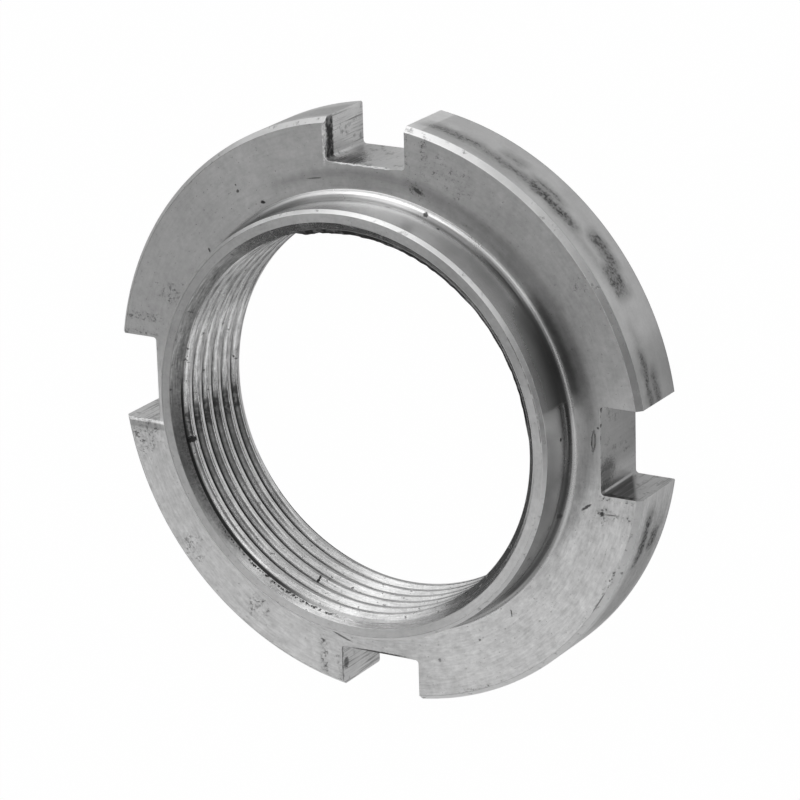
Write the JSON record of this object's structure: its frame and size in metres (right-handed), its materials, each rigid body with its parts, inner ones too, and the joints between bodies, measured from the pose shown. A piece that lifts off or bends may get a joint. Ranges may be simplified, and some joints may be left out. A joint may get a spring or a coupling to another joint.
{
  "type": "bearing lock nut",
  "caption": "Slotted round lock nut with a raised hub and a fine internal thread, screwed onto a shaft to clamp a bearing and turned with a hook spanner in its rim slots.",
  "frame": {"origin": "centre of the bore on the flat back face of the flange", "axes": "+Z along the thread axis, from the back face towards the hub; +X and +Y each through the middle of a spanner slot"},
  "size_m": [0.0504, 0.0504, 0.0104],
  "materials": {
    "turned_steel": "bare turned and milled steel, satin, lightly worn"
  },
  "bodies": {
    "root": {"lock_nut": "turned_steel"}
  },
  "joints": []
}
